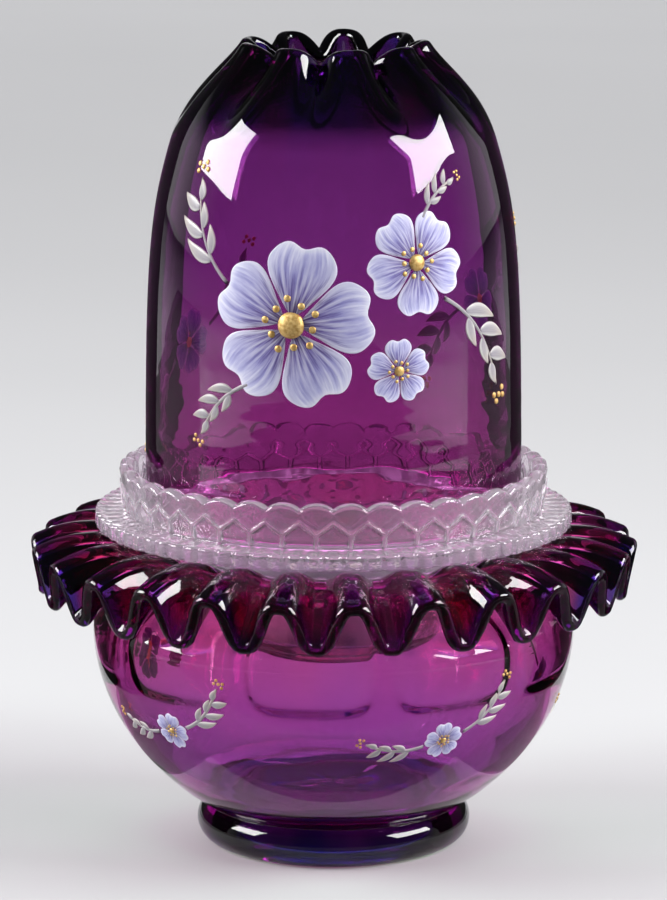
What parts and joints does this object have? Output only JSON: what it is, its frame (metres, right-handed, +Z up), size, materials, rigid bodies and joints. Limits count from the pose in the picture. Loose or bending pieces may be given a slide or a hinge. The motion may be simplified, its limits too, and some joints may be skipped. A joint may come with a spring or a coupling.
{
  "type": "fairy lamp",
  "caption": "Glass fairy lamp: a domed shade with a crimped mouth stands in a pressed clear insert over a ruffled, footed bowl, with a tealight in the insert's well.",
  "frame": {"origin": "on the table under the middle of the foot ring", "axes": "+Z up along the lamp's axis, -Y towards the front of the lamp, +X to the right seen from the front"},
  "size_m": [0.1336, 0.1334, 0.178],
  "materials": {
    "bowl_glass": "gloss",
    "shade_glass": "gloss",
    "clear_glass": "gloss",
    "cup_metal": "satin",
    "wax": "satin",
    "tab_metal": "satin",
    "wick_cotton": "matte"
  },
  "bodies": {
    "base": {"base_bowl": "bowl_glass"},
    "insert": {"candle_insert": "clear_glass"},
    "dome": {"shade": "shade_glass"},
    "candle": {"tealight_cup": "cup_metal", "tealight_wax": "wax", "wick_tab": "tab_metal", "wick": "wick_cotton"}
  },
  "joints": [
    {"name": "insert_lift", "type": "slide", "parent": "base", "child": "insert", "axis": [0, 0, 1], "range_m": [0, 0.05]},
    {"name": "shade_lift", "type": "slide", "parent": "insert", "child": "dome", "axis": [0, 0, 1], "range_m": [0, 0.06]},
    {"name": "candle_lift", "type": "slide", "parent": "insert", "child": "candle", "axis": [0, 0, 1], "range_m": [0, 0.05]}
  ]
}
